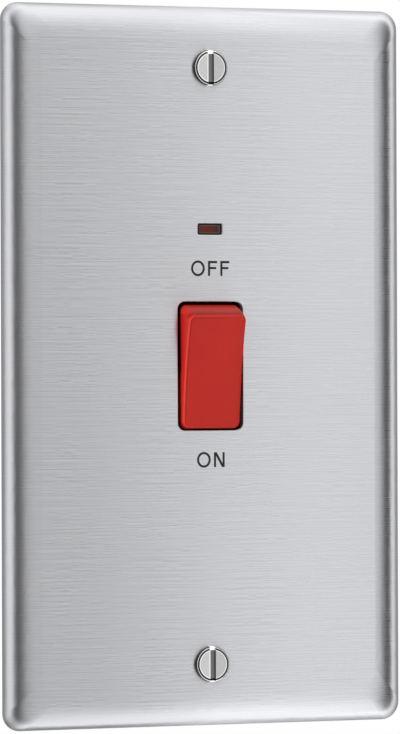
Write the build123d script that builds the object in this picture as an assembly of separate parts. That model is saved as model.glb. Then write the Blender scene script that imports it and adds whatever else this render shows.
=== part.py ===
from build123d import *
import os
from math import cos, hypot, pi, radians, sin, sqrt

# Cooker switch: a double-pole rocker switch with an indicator lamp on a pressed steel twin plate.
# Millimetres. X runs to the right, Y runs back into the wall, Z runs up.
# The origin is the middle of the plate in the plane of the wall.

# Front plate
PLATE_WIDTH = 86.0
PLATE_HEIGHT = 146.0
PLATE_PROJECTION = 5.0
PLATE_CORNER = 3.6
SHEET = 0.9
ROLL_WIDTH = 7.0
ROLL_STEPS = 8
CUT_EDGE_ROUND = 0.2

# Rocker opening and indicator window
OPENING_WIDTH = 14.0
OPENING_HEIGHT = 26.0
OPENING_CORNER = 1.5
WINDOW_WIDTH = 5.2
WINDOW_HEIGHT = 2.3
WINDOW_CORNER = 0.4
WINDOW_Z = 27.7

# Fixing screws of the plate
FIXING_CENTRES = 120.6
FIXING_HOLE = 4.2
FIXING_THREAD = 3.5
FIXING_NECK = 3.0
FIXING_NECK_LENGTH = 1.9
FIXING_LENGTH = 25.0
FIXING_HEAD = 7.2
FIXING_FACE = 6.2
FIXING_HEAD_HEIGHT = 1.0
FIXING_HEAD_CHAMFER = 0.45
FIXING_SLOT = 1.2
FIXING_SLOT_DEPTH = 0.65
THREAD_CHAMFER = 0.5
SLOT_OVERRUN = 1.0

# Mouldings of the switch module
MODULE_WIDTH = 54.0
MODULE_HEIGHT = 70.0
MODULE_CORNER = 3.0
FRAME_DEPTH = 17.1
BASE_DEPTH = 16.9
MOULDING_WALL = 2.0
FRAME_FACE = 2.2
BEARING_WALL = 3.0
POST_INSET_X = 4.5
POST_INSET_Z = 5.0
POST_WALL = 1.0
BARRIER_THICKNESS = 1.2
BARRIER_HEIGHT = 5.5
BASE_FLOOR = 2.5

# Pillars on the plate and the screws that clamp the module to them
PILLAR_DIAMETER = 5.6
PILLAR_LENGTH = 8.0
PILLAR_FLOOR = 0.9
PILLAR_PLAY = 0.2
MODULE_SCREW = 3.0
MODULE_SCREW_GRIP = 6.0
MODULE_SCREW_HEAD = 5.5
MODULE_SCREW_HEAD_HEIGHT = 2.0
MODULE_SCREW_HEAD_CHAMFER = 0.5
MODULE_SCREW_SINK = 2.6
MODULE_SCREW_PLAY = 0.2
MODULE_SCREW_SLOT = 0.8
MODULE_SCREW_SLOT_DEPTH = 1.0
TAPPED_PLAY = 0.05

# Rocker
PIVOT_DEPTH = 4.0
ROCKER_THROW = 20.0
ROCKER_RISE = 2.6
ROCKER_DISH = 0.7
ROCKER_FACE_INSET = 1.5
ROCKER_SIDE_GAP = 0.55
ROCKER_END_GAP = 0.5
ROCKER_DRAFT = 0.3
ROCKER_SKIRT = 2.2
ROCKER_WALL = 1.7
ROCKER_CORNER = 1.3
ROCKER_EDGE = 0.4
WELL_GAP = 0.35
PIN_DIAMETER = 3.0
PIN_REACH = 2.6
PIN_ROOT = 0.85
BEARING_PLAY = 0.05

# Plungers and springs inside the rocker
PLUNGER_DIAMETER = 3.0
PLUNGER_PLAY = 0.08
PLUNGER_TAIL = 1.0
PLUNGER_GAP = 0.12
BOSS_WALL = 0.95
BOSS_INSET = 0.35
BOSS_LENGTH = 5.0
BORE_RISE = 3.5
SPRING_WIRE = 0.4
SPRING_PLAY = 0.15
SPRING_COILS = 5

# See-saw contacts
SEESAW_THROW = 24.0
FULCRUM_RISE = 2.4
KNUCKLE_RADIUS = 1.1
KNUCKLE_PLAY = 0.05
VALLEY_COVER = 0.05
SADDLE_RISE = 1.7
SADDLE_LENGTH = 4.4
BLADE_THICKNESS = 1.4
BLADE_UPPER = 10.8
BLADE_LOWER = 7.0
POLE_GAP = 2.6
TIP_ALONG_BLADE = 8.5
TIP_DIAMETER = 3.6
MOVING_TIP_HEIGHT = 1.0
TIP_CHAMFER = 0.3
CONTACT_GAP = 0.03

# Straps and tunnel terminals
STRAP_THICKNESS = 1.5
STRAP_PLAY = 0.1
STRAP_BREAK = 3.0
STRAP_BEND = 1.0
TERMINAL_INSET = 9.5
TERMINAL_WIDTH = 10.0
TERMINAL_LENGTH = 11.5
TERMINAL_DEPTH = 11.0
TERMINAL_END = 1.0
TERMINAL_EDGE = 0.6
TERMINAL_PLAY = 0.15
CABLE_BORE = 6.0
CABLE_BORE_FLOOR = 2.0
CLAMP_SCREW = 5.0
CLAMP_SCREW_BACKOFF = 0.3
CLAMP_SCREW_SHOW = 1.6
CLAMP_SCREW_HEAD = 7.0
CLAMP_SCREW_HEAD_HEIGHT = 2.4
CLAMP_SCREW_SLOT = 1.2
CLAMP_SCREW_SLOT_DEPTH = 1.2
CLAMP_ACCESS_PLAY = 0.6

# Indicator lens, lamp and wiring
LENS_PLAY = 0.15
LENS_NOSE_GAP = 0.3
LENS_NOSE_CORNER = 0.15
LENS_RECESS = 0.45
LENS_FLANGE = 1.3
LENS_FLANGE_THICKNESS = 1.2
LENS_STUB_DIAMETER = 3.8
LENS_STUB_OVERRUN = 0.6
LAMP_DIAMETER = 4.2
LAMP_LENGTH = 9.5
LAMP_GAP = 0.3
LAMP_PLAY = 0.2
SLEEVE_WALL = 1.2
SLEEVE_LENGTH = 8.5
LEAD_DIAMETER = 0.5
LEAD_SPACING = 1.6
LEAD_REACH = 8.0
LEAD_BEND = 0.9
LEAD_CLEARANCE = 0.02
RESISTOR_DIAMETER = 2.2
RESISTOR_LENGTH = 6.0
RESISTOR_EDGE = 0.44
RESISTOR_OFFSET = 4.0
RESISTOR_CLEARANCE = 0.8
RESISTOR_TAIL = 2.5

# Earth terminal on the plate
EARTH_X = 20.0
EARTH_DROP = 6.0
EARTH_STRAP_THICKNESS = 1.0
EARTH_STRAP_WIDTH = 10.0
EARTH_FOOT = 10.0
EARTH_STRAP_BEND = 0.75
EARTH_WIDTH = 8.0
EARTH_HEIGHT = 7.5
EARTH_DEPTH = 9.0
EARTH_BORE = 4.0
EARTH_BORE_FLOOR = 1.2
EARTH_SCREW = 4.0
EARTH_SCREW_HEAD = 6.0
EARTH_SCREW_HEAD_HEIGHT = 2.2
EARTH_SCREW_SHOW = 1.4

# Planes of the stack, from the front to the back
FRONT = -PLATE_PROJECTION
SEAT = FRONT + SHEET
FRAME_FLOOR = SEAT + FRAME_FACE
PARTING = SEAT + FRAME_DEPTH
STRAP_REAR = PARTING + STRAP_THICKNESS
TERMINAL_REAR = STRAP_REAR + TERMINAL_DEPTH
BASE_REAR = PARTING + BASE_DEPTH
PIVOT_Y = FRONT + PIVOT_DEPTH
SEESAW_Y = PARTING - FULCRUM_RISE

# Rocker sizes that follow from the opening
ROCKER_BASE = OPENING_WIDTH - 2 * ROCKER_SIDE_GAP
ROCKER_TOP = PIVOT_DEPTH + ROCKER_RISE
ROCKER_SWING = hypot(OPENING_HEIGHT / 2, PIVOT_DEPTH - SHEET) - ROCKER_END_GAP
WELL_WIDTH = ROCKER_BASE + 2 * WELL_GAP
WELL_HEIGHT = 2 * (ROCKER_SWING + WELL_GAP)
REST_TILT = ROCKER_THROW / 2

# Places of the two poles
BOSS_RADIUS = PLUNGER_DIAMETER / 2 + PLUNGER_PLAY + BOSS_WALL
POLE_X = ROCKER_BASE / 2 - BOSS_RADIUS - BOSS_INSET
BLADE_WIDTH = 2 * POLE_X - POLE_GAP
POLES = {"line": -1, "neutral": 1}

# Places of the pillars and the terminals
POST_X = MODULE_WIDTH / 2 - POST_INSET_X
POST_Z = MODULE_HEIGHT / 2 - POST_INSET_Z
POSTS = [(x, z) for x in (-POST_X, POST_X) for z in (-POST_Z, POST_Z)]
TERMINAL_X = POST_X - TERMINAL_INSET
TERMINAL_OUTER = MODULE_HEIGHT / 2 - TERMINAL_END
TERMINAL_INNER = TERMINAL_OUTER - TERMINAL_LENGTH
TERMINALS = [(x, end) for x in (-TERMINAL_X, TERMINAL_X) for end in (-1, 1)]
CABLE_BORE_Y = STRAP_REAR + CABLE_BORE_FLOOR + CABLE_BORE / 2

# The see-saw: its valley, where the plunger runs, and its contact tip when the switch is on
ARM_BEND = SEESAW_THROW / 2
VALLEY_BACK = KNUCKLE_RADIUS + VALLEY_COVER
VALLEY_Y = SEESAW_Y - VALLEY_BACK
VALLEY_ON_Y = SEESAW_Y - VALLEY_BACK * cos(radians(ARM_BEND))
VALLEY_ON_Z = VALLEY_BACK * sin(radians(ARM_BEND))
TIP_Z = VALLEY_ON_Z + TIP_ALONG_BLADE
TIP_FACE = VALLEY_ON_Y + BLADE_THICKNESS + MOVING_TIP_HEIGHT
PLUNGER_REACH = VALLEY_Y - PLUNGER_GAP - PIVOT_Y

# Places of the indicator and the earth terminal
LAMP_FRONT = FRAME_FLOOR + LENS_STUB_OVERRUN + LAMP_GAP
LAMP_REAR = LAMP_FRONT + LAMP_LENGTH
EARTH_TOP = -MODULE_HEIGHT / 2 - EARTH_DROP
EARTH_Z = EARTH_TOP - EARTH_STRAP_THICKNESS - EARTH_HEIGHT / 2

PIVOT_AXIS = Axis((0, PIVOT_Y, 0), (1, 0, 0))
SEESAW_AXIS = Axis((0, SEESAW_Y, 0), (1, 0, 0))


def slab(sketch, front, rear):
    """Extrude a sketch drawn in x and z from its front plane back to its rear plane."""
    plane = Plane((0, rear, 0), x_dir=(1, 0, 0), z_dir=(0, -1, 0))
    return extrude(plane * sketch, rear - front)


def across(sketch, left, right):
    """Extrude a sketch drawn in y and z from its left side to its right side."""
    plane = Plane((left, 0, 0), x_dir=(0, 1, 0), z_dir=(1, 0, 0))
    return extrude(plane * sketch, right - left)


def panel(left, right, bottom, top):
    """A rectangle between two corners."""
    return Pos((left + right) / 2, (bottom + top) / 2) * Rectangle(right - left, top - bottom)


def rod(x, z, diameter, front, rear):
    """A round bar along Y."""
    return slab(Pos(x, z) * Circle(diameter / 2), front, rear)


def turned(x, z, outline):
    """Turn an outline of radius and y about an axis along Y."""
    return Pos(x, 0, z) * revolve(make_face(Polyline(*outline, close=True)), Axis.Y)


def slotted(screw, x, z, head, width, front, rear):
    """Cut a screwdriver slot along Z right across a screw's head."""
    return screw - slab(Pos(x, z) * Rectangle(width, head + 2 * SLOT_OVERRUN), front, rear)


def plate_section(turn, depth):
    """The plate's outline where its rolled edge has turned this far, at a depth below its outer skin."""
    sideways = PLATE_PROJECTION * cos(turn)
    forwards = ROLL_WIDTH * sin(turn)
    length = hypot(sideways, forwards)
    inset = ROLL_WIDTH * (1 - cos(turn)) + depth * sideways / length
    rise = PLATE_PROJECTION * sin(turn) - depth * forwards / length
    corner = PLATE_CORNER - depth * sideways / length
    outline = RectangleRounded(PLATE_WIDTH - 2 * inset, PLATE_HEIGHT - 2 * inset, corner)
    return Plane((0, -rise, 0), x_dir=(1, 0, 0), z_dir=(0, -1, 0)) * outline


def plate_skin(depth):
    """The closed form inside the plate's outer skin, or inside a skin at a depth below it."""
    turns = [pi / 2 * step / ROLL_STEPS for step in range(ROLL_STEPS + 1)]
    return loft([plate_section(turn, depth) for turn in turns])


def front_plate():
    """Pressed sheet with rolled edges, open behind, punched from the front."""
    plate = plate_skin(0) - plate_skin(SHEET)
    opening = RectangleRounded(OPENING_WIDTH, OPENING_HEIGHT, OPENING_CORNER)
    window = Pos(0, WINDOW_Z) * RectangleRounded(WINDOW_WIDTH, WINDOW_HEIGHT, WINDOW_CORNER)
    holes = [Pos(0, end * FIXING_CENTRES / 2) * Circle(FIXING_HOLE / 2) for end in (-1, 1)]
    plate -= slab(Sketch() + opening + window + holes, FRONT, SEAT)
    face = plate.faces().filter_by(Axis.Y).sort_by(Axis.Y)[0]
    return fillet(face.inner_wires().edges(), CUT_EDGE_ROUND)


def fixing_screws():
    """Slotted cheese-head screws with a relieved neck where they pass through the plate."""
    screws = []
    top = FRONT - FIXING_HEAD_HEIGHT
    tip = FRONT + FIXING_LENGTH
    neck_end = FRONT + FIXING_NECK_LENGTH
    thread = FIXING_THREAD / 2
    for z in (-FIXING_CENTRES / 2, FIXING_CENTRES / 2):
        outline = [
            (0, top),
            (FIXING_FACE / 2, top),
            (FIXING_HEAD / 2, top + FIXING_HEAD_CHAMFER),
            (FIXING_HEAD / 2, FRONT),
            (FIXING_NECK / 2, FRONT),
            (FIXING_NECK / 2, neck_end),
            (thread, neck_end),
            (thread, tip - THREAD_CHAMFER),
            (thread - THREAD_CHAMFER, tip),
            (0, tip),
        ]
        screw = turned(0, z, outline)
        slot_floor = top + FIXING_SLOT_DEPTH
        screws.append(slotted(screw, 0, z, FIXING_HEAD, FIXING_SLOT, top, slot_floor))
    return Compound(screws)


def weld_pillars():
    """Tapped pillars that stand on the inside of the plate."""
    pillars = []
    for x, z in POSTS:
        pillar = rod(x, z, PILLAR_DIAMETER, SEAT, SEAT + PILLAR_LENGTH)
        tapping = MODULE_SCREW + 2 * TAPPED_PLAY
        pillars.append(pillar - rod(x, z, tapping, SEAT + PILLAR_FLOOR, SEAT + PILLAR_LENGTH))
    return Compound(pillars)


def module_screws():
    """Pan-head screws from the back of the module into the pillars."""
    screws = []
    under_head = BASE_REAR - MODULE_SCREW_SINK
    rear = under_head + MODULE_SCREW_HEAD_HEIGHT
    tip = SEAT + PILLAR_LENGTH - MODULE_SCREW_GRIP
    for x, z in POSTS:
        outline = [
            (0, tip),
            (MODULE_SCREW / 2, tip),
            (MODULE_SCREW / 2, under_head),
            (MODULE_SCREW_HEAD / 2, under_head),
            (MODULE_SCREW_HEAD / 2, rear - MODULE_SCREW_HEAD_CHAMFER),
            (MODULE_SCREW_HEAD / 2 - MODULE_SCREW_HEAD_CHAMFER, rear),
            (0, rear),
        ]
        screw = turned(x, z, outline)
        slot_floor = rear - MODULE_SCREW_SLOT_DEPTH
        screws.append(slotted(screw, x, z, MODULE_SCREW_HEAD, MODULE_SCREW_SLOT, slot_floor, rear))
    return Compound(screws)


def module_outline(inset=0):
    """Outline of both mouldings, or of the hollow inside their walls."""
    corner = max(MODULE_CORNER - inset, MOULDING_WALL / 2)
    return RectangleRounded(MODULE_WIDTH - 2 * inset, MODULE_HEIGHT - 2 * inset, corner)


def lens_flange(play):
    """Outline of the lens's flange, or of its seat in the frame."""
    width = WINDOW_WIDTH + 2 * (LENS_FLANGE + play)
    height = WINDOW_HEIGHT + 2 * (LENS_FLANGE + play)
    return Pos(0, WINDOW_Z) * RectangleRounded(width, height, WINDOW_CORNER)


def rocker_frame():
    """Front moulding: a tray behind the plate with the rocker's well, screw posts and the lamp's sleeve."""
    tray = slab(module_outline(), SEAT, PARTING)
    tray -= slab(module_outline(MOULDING_WALL), FRAME_FLOOR, PARTING)
    well_block = Rectangle(WELL_WIDTH + 2 * BEARING_WALL, WELL_HEIGHT + 2 * MOULDING_WALL)
    tray += slab(well_block, FRAME_FLOOR, PARTING)
    socket = PILLAR_DIAMETER + 2 * PILLAR_PLAY
    sleeve_bore = LAMP_DIAMETER + 2 * LAMP_PLAY
    tray += rod(0, WINDOW_Z, sleeve_bore + 2 * SLEEVE_WALL, FRAME_FLOOR, FRAME_FLOOR + SLEEVE_LENGTH)
    for x, z in POSTS:
        tray += rod(x, z, socket + 2 * POST_WALL, FRAME_FLOOR, PARTING)
    tray -= slab(Rectangle(WELL_WIDTH, WELL_HEIGHT), SEAT, PARTING)
    for x, z in POSTS:
        tray -= rod(x, z, socket, SEAT, SEAT + PILLAR_LENGTH + PILLAR_PLAY)
        tray -= rod(x, z, MODULE_SCREW + 2 * MODULE_SCREW_PLAY, SEAT, PARTING)
    tray -= slab(lens_flange(LENS_PLAY), SEAT, SEAT + LENS_FLANGE_THICKNESS)
    tray -= rod(0, WINDOW_Z, LENS_STUB_DIAMETER + 2 * LENS_PLAY, SEAT, FRAME_FLOOR)
    tray -= rod(0, WINDOW_Z, sleeve_bore, FRAME_FLOOR, FRAME_FLOOR + SLEEVE_LENGTH)
    bearing = Pos(PIVOT_Y, 0) * Circle(PIN_DIAMETER / 2 + BEARING_PLAY)
    bearing_reach = WELL_WIDTH / 2 + BEARING_WALL
    return tray - across(bearing, -bearing_reach, bearing_reach)


def strap_outline(side, end, first, grow=0):
    """A flat strap from its pole near the middle out to its terminal, drawn in x and z."""
    near = POLE_GAP / 2 - grow
    pole = POLE_GAP / 2 + BLADE_WIDTH + grow
    far = TERMINAL_X + TERMINAL_WIDTH / 2 + grow
    bend = TERMINAL_INNER - STRAP_THICKNESS - grow
    outer = TERMINAL_OUTER + grow
    upright = panel(near, pole, first - grow, outer)
    arm = panel(near, far, bend, outer)
    outline = upright + arm
    corner = outline.vertices().sort_by_distance((pole, bend))[0]
    outline = fillet(corner, STRAP_BEND)
    if side < 0:
        outline = mirror(outline, Plane.YZ)
    if end < 0:
        outline = mirror(outline, Plane.XZ)
    return outline


def strap_start(end):
    """Where a strap starts: beyond the break for the load, past the fulcrum for the supply."""
    fulcrum_edge = SADDLE_LENGTH / 2
    return fulcrum_edge + STRAP_BREAK if end > 0 else -fulcrum_edge


def rear_base():
    """Rear moulding: pockets for straps and terminals, a barrier between the poles, a cored back."""
    base = slab(module_outline(), PARTING, BASE_REAR)
    core_half = POST_X - MODULE_SCREW_HEAD / 2 - MOULDING_WALL
    core_end = TERMINAL_INNER - TERMINAL_PLAY - MOULDING_WALL
    for side in (-1, 1):
        core = panel(MOULDING_WALL / 2, core_half, -core_end, core_end)
        core = fillet(core.vertices(), MOULDING_WALL)
        core = core if side > 0 else mirror(core, Plane.YZ)
        base -= slab(core, STRAP_REAR + BASE_FLOOR, BASE_REAR)
    for x, end in TERMINALS:
        side = 1 if x > 0 else -1
        base -= slab(strap_outline(side, end, strap_start(end), STRAP_PLAY), PARTING, STRAP_REAR)
        half = TERMINAL_WIDTH / 2 + TERMINAL_PLAY
        inner = end * (TERMINAL_INNER - TERMINAL_PLAY)
        low, high = sorted((inner, end * MODULE_HEIGHT / 2))
        base -= slab(panel(x - half, x + half, low, high), PARTING, TERMINAL_REAR)
        access = CLAMP_SCREW_HEAD + 2 * CLAMP_ACCESS_PLAY
        base -= rod(x, end * (TERMINAL_INNER + TERMINAL_LENGTH / 2), access, TERMINAL_REAR, BASE_REAR)
    for x, z in POSTS:
        base -= rod(x, z, MODULE_SCREW + 2 * MODULE_SCREW_PLAY, PARTING, BASE_REAR)
        sink = MODULE_SCREW_HEAD + 2 * MODULE_SCREW_PLAY
        base -= rod(x, z, sink, BASE_REAR - MODULE_SCREW_SINK, BASE_REAR)
    barrier = Rectangle(BARRIER_THICKNESS, WELL_HEIGHT - 2 * WELL_GAP)
    return base + slab(barrier, PARTING - BARRIER_HEIGHT, PARTING)


def strap(side, end):
    """A copper strap, with the see-saw's saddle on the supply side."""
    body = slab(strap_outline(side, end, strap_start(end)), PARTING, STRAP_REAR)
    if end > 0:
        return body
    left = side * POLE_X - BLADE_WIDTH / 2
    saddle = panel(PARTING - SADDLE_RISE, PARTING, -SADDLE_LENGTH / 2, SADDLE_LENGTH / 2)
    saddle -= Pos(SEESAW_Y, 0) * Circle(KNUCKLE_RADIUS + KNUCKLE_PLAY)
    return body + across(saddle, left, left + BLADE_WIDTH)


def terminal(x, end):
    """A brass tunnel terminal with its cable bore along Z and its clamp screw's tapping from behind."""
    half = TERMINAL_WIDTH / 2
    block = Pos(x, (STRAP_REAR + TERMINAL_REAR) / 2) * Rectangle(TERMINAL_WIDTH, TERMINAL_DEPTH)
    block = fillet(block.vertices(), TERMINAL_EDGE)
    block -= Pos(x, CABLE_BORE_Y) * Circle(CABLE_BORE / 2)
    low, high = sorted((end * TERMINAL_INNER, end * TERMINAL_OUTER))
    body = extrude(Pos(0, 0, low) * block, high - low)
    tapping = CLAMP_SCREW + 2 * TAPPED_PLAY
    return body - rod(x, (low + high) / 2, tapping, CABLE_BORE_Y, TERMINAL_REAR)


def clamp_screw(x, z, thread, head, head_height, tip, under_head):
    """A slotted terminal screw, backed off so that its tunnel is free."""
    rear = under_head + head_height
    outline = [
        (0, tip),
        (thread / 2, tip),
        (thread / 2, under_head),
        (head / 2, under_head),
        (head / 2, rear),
        (0, rear),
    ]
    screw = turned(x, z, outline)
    return slotted(screw, x, z, head, CLAMP_SCREW_SLOT, rear - CLAMP_SCREW_SLOT_DEPTH, rear)


def terminal_screws():
    """The four clamp screws of the tunnel terminals."""
    tip = CABLE_BORE_Y + CABLE_BORE / 2 + CLAMP_SCREW_BACKOFF
    under_head = TERMINAL_REAR + CLAMP_SCREW_SHOW
    middle = TERMINAL_INNER + TERMINAL_LENGTH / 2
    sizes = (CLAMP_SCREW, CLAMP_SCREW_HEAD, CLAMP_SCREW_HEAD_HEIGHT)
    return Compound([clamp_screw(x, end * middle, *sizes, tip, under_head) for x, end in TERMINALS])


def fixed_tip(side):
    """Contact rivet on the load strap, where the moving tip comes to rest."""
    tip = rod(side * POLE_X, TIP_Z, TIP_DIAMETER, TIP_FACE + CONTACT_GAP, PARTING)
    return chamfer(tip.edges().sort_by(Axis.Y)[0], TIP_CHAMFER)


def moving_tip(side):
    """Contact rivet on the back of the see-saw's upper arm, closed on the fixed tip."""
    tip = rod(side * POLE_X, TIP_Z, TIP_DIAMETER, TIP_FACE - MOVING_TIP_HEIGHT, TIP_FACE)
    return chamfer(tip.edges().sort_by(Axis.Y)[-1], TIP_CHAMFER)


def moving_contact(side):
    """See-saw blade bent to a shallow valley, with a round knuckle that rolls in the saddle."""
    bend = radians(ARM_BEND)
    upper = Vector(VALLEY_Y - BLADE_UPPER * sin(bend), BLADE_UPPER * cos(bend))
    lower = Vector(VALLEY_Y - BLADE_LOWER * sin(bend), -BLADE_LOWER * cos(bend))
    behind_upper = upper + Vector(cos(bend), sin(bend)) * BLADE_THICKNESS
    behind_lower = lower + Vector(cos(bend), -sin(bend)) * BLADE_THICKNESS
    ridge = Vector(VALLEY_Y + BLADE_THICKNESS / cos(bend), 0)
    outline = [Vector(VALLEY_Y, 0), upper, behind_upper, ridge, behind_lower, lower]
    profile = make_face(Polyline(*outline, close=True)) + Pos(SEESAW_Y, 0) * Circle(KNUCKLE_RADIUS)
    left = side * POLE_X - BLADE_WIDTH / 2
    return across(profile, left, left + BLADE_WIDTH).rotate(SEESAW_AXIS, -ARM_BEND)


def rocker():
    """Red rocker: dished face, rounded ends, drafted sides, hollow with two plunger bosses."""
    face_end = OPENING_HEIGHT / 2 - ROCKER_FACE_INSET
    skirt_end = sqrt(ROCKER_SWING**2 - ROCKER_SKIRT**2)
    dish = PIVOT_Y - ROCKER_TOP + ROCKER_DISH
    top_end = (PIVOT_Y - ROCKER_TOP, face_end)
    low_end = (PIVOT_Y - ROCKER_TOP, -face_end)
    skirt_top = (PIVOT_Y + ROCKER_SKIRT, skirt_end)
    skirt_low = (PIVOT_Y + ROCKER_SKIRT, -skirt_end)
    side_view = make_face(
        [
            ThreePointArc(low_end, (dish, 0), top_end),
            ThreePointArc(top_end, (PIVOT_Y, ROCKER_SWING), skirt_top),
            Line(skirt_top, skirt_low),
            ThreePointArc(skirt_low, (PIVOT_Y, -ROCKER_SWING), low_end),
        ]
    )
    half = ROCKER_BASE / 2
    body = across(side_view, -half, half)
    plan = [
        (-half, PIVOT_Y + ROCKER_SKIRT),
        (half, PIVOT_Y + ROCKER_SKIRT),
        (half, PIVOT_Y),
        (half - ROCKER_DRAFT, PIVOT_Y - ROCKER_TOP),
        (-half + ROCKER_DRAFT, PIVOT_Y - ROCKER_TOP),
        (-half, PIVOT_Y),
    ]
    body &= extrude(make_face(Polyline(*plan, close=True)), 2 * ROCKER_SWING, both=True)
    ends = [edge for edge in body.edges() if is_rocker_corner(edge)]
    body = fillet(ends, ROCKER_CORNER)
    front = body.faces().sort_by(Axis.Y)[0]
    body = fillet(front.edges(), ROCKER_EDGE)
    hollow_front = dish + ROCKER_WALL
    hollow = panel(hollow_front, PIVOT_Y + ROCKER_SKIRT, -ROCKER_SWING, ROCKER_SWING)
    hollow &= Pos(PIVOT_Y, 0) * Circle(ROCKER_SWING - ROCKER_WALL)
    body -= across(hollow, -half + ROCKER_WALL, half - ROCKER_WALL)
    bore = PLUNGER_DIAMETER + 2 * PLUNGER_PLAY
    for side in POLES.values():
        body += rod(side * POLE_X, 0, 2 * BOSS_RADIUS, hollow_front, PIVOT_Y + BOSS_LENGTH)
    for side in POLES.values():
        body -= rod(side * POLE_X, 0, bore, PIVOT_Y - BORE_RISE, PIVOT_Y + BOSS_LENGTH)
        inner, outer = sorted((side * (half - PIN_ROOT), side * (half + PIN_REACH)))
        body += across(Pos(PIVOT_Y, 0) * Circle(PIN_DIAMETER / 2), inner, outer)
    return body.rotate(PIVOT_AXIS, REST_TILT)


def is_rocker_corner(edge):
    """True for the edges between the rocker's sides and its rounded ends."""
    middle = edge.center()
    on_side = abs(middle.X) > ROCKER_BASE / 2 - ROCKER_DRAFT - ROCKER_EDGE
    on_end = abs(hypot(middle.Y - PIVOT_Y, middle.Z) - ROCKER_SWING) < ROCKER_EDGE
    spans_depth = edge.bounding_box().size.Y > ROCKER_EDGE
    return on_side and on_end and spans_depth


def plunger(side):
    """Round-nosed plunger in its rocker boss, with its nose on the see-saw."""
    nose = PLUNGER_DIAMETER / 2
    nose_y = PIVOT_Y + PLUNGER_REACH - nose
    body = rod(side * POLE_X, 0, PLUNGER_DIAMETER, PIVOT_Y + PLUNGER_TAIL, nose_y)
    body += Pos(side * POLE_X, nose_y, 0) * Sphere(nose)
    return body.rotate(PIVOT_AXIS, REST_TILT)


def spring(side):
    """Coil spring between the blind end of the boss and the plunger's tail."""
    wire = SPRING_WIRE / 2
    coil = PLUNGER_DIAMETER / 2 - SPRING_PLAY - wire
    start = PIVOT_Y - BORE_RISE + wire
    height = BORE_RISE + PLUNGER_TAIL - SPRING_WIRE
    path = Helix(height / SPRING_COILS, height, coil, (side * POLE_X, start, 0), (0, 1, 0))
    section = Plane(path @ 0, z_dir=path % 0) * Circle(wire)
    return sweep(section, path).rotate(PIVOT_AXIS, REST_TILT)


def indicator_lens():
    """Window, flange and light stub of the indicator, moulded in one piece."""
    width = WINDOW_WIDTH - 2 * LENS_NOSE_GAP
    height = WINDOW_HEIGHT - 2 * LENS_NOSE_GAP
    nose = Pos(0, WINDOW_Z) * RectangleRounded(width, height, LENS_NOSE_CORNER)
    lens = slab(nose, FRONT + LENS_RECESS, SEAT)
    lens += slab(lens_flange(0), SEAT, SEAT + LENS_FLANGE_THICKNESS)
    stub_front = SEAT + LENS_FLANGE_THICKNESS
    return lens + rod(0, WINDOW_Z, LENS_STUB_DIAMETER, stub_front, FRAME_FLOOR + LENS_STUB_OVERRUN)


def neon_lamp():
    """Glass lamp in its sleeve, with a round nose behind the lens."""
    radius = LAMP_DIAMETER / 2
    lamp = rod(0, WINDOW_Z, LAMP_DIAMETER, LAMP_FRONT + radius, LAMP_REAR)
    return lamp + Pos(0, LAMP_FRONT + radius, WINDOW_Z) * Sphere(radius)


def wire(points):
    """A bent lead through these points."""
    path = FilletPolyline(*points, radius=LEAD_BEND)
    section = Plane(path @ 0, z_dir=path % 0) * Circle(LEAD_DIAMETER / 2)
    return sweep(section, path)


def neon_line_lead():
    """Lead from the lamp to the front of the line load strap."""
    start = -LEAD_SPACING / 2
    lie = PARTING - LEAD_DIAMETER / 2 - LEAD_CLEARANCE
    return wire([(start, LAMP_REAR, WINDOW_Z), (start, lie, WINDOW_Z), (-LEAD_REACH, lie, WINDOW_Z)])


def resistor_y():
    """Depth of the resistor's axis, in front of the neutral load strap."""
    return PARTING - RESISTOR_CLEARANCE - RESISTOR_DIAMETER / 2


def neon_resistor():
    """Series resistor of the lamp."""
    body = Pos(resistor_y(), WINDOW_Z) * Circle(RESISTOR_DIAMETER / 2)
    resistor = across(body, RESISTOR_OFFSET, RESISTOR_OFFSET + RESISTOR_LENGTH)
    return fillet(resistor.edges().filter_by(GeomType.CIRCLE), RESISTOR_EDGE)


def neon_neutral_lead():
    """Leads from the lamp to the resistor and from the resistor to the neutral load strap."""
    start = LEAD_SPACING / 2
    lie = resistor_y()
    resistor_end = RESISTOR_OFFSET + RESISTOR_LENGTH
    end = resistor_end + RESISTOR_TAIL
    first = wire([(start, LAMP_REAR, WINDOW_Z), (start, lie, WINDOW_Z), (RESISTOR_OFFSET, lie, WINDOW_Z)])
    second = wire([(resistor_end, lie, WINDOW_Z), (end, lie, WINDOW_Z), (end, PARTING, WINDOW_Z)])
    return Compound([first, second])


def earth_strap():
    """Angle strap: its foot is welded to the plate and its upright carries the earth terminal."""
    upright = panel(SEAT, EARTH_DEPTH, EARTH_TOP - EARTH_STRAP_THICKNESS, EARTH_TOP)
    foot = panel(SEAT, SEAT + EARTH_STRAP_THICKNESS, EARTH_TOP - EARTH_FOOT, EARTH_TOP)
    profile = upright + foot
    corner = profile.vertices().sort_by_distance((SEAT, EARTH_TOP))[0]
    profile = fillet(corner, EARTH_STRAP_BEND)
    half = EARTH_STRAP_WIDTH / 2
    return across(profile, EARTH_X - half, EARTH_X + half)


def earth_terminal():
    """Brass block under the earth strap, bored along X, tapped from behind."""
    block = Pos(EARTH_DEPTH / 2, EARTH_Z) * Rectangle(EARTH_DEPTH, EARTH_HEIGHT)
    block = fillet(block.vertices(), TERMINAL_EDGE)
    bore_y = EARTH_BORE_FLOOR + EARTH_BORE / 2
    block -= Pos(bore_y, EARTH_Z) * Circle(EARTH_BORE / 2)
    body = across(block, EARTH_X - EARTH_WIDTH / 2, EARTH_X + EARTH_WIDTH / 2)
    return body - rod(EARTH_X, EARTH_Z, EARTH_SCREW + 2 * TAPPED_PLAY, bore_y, EARTH_DEPTH)


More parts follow.
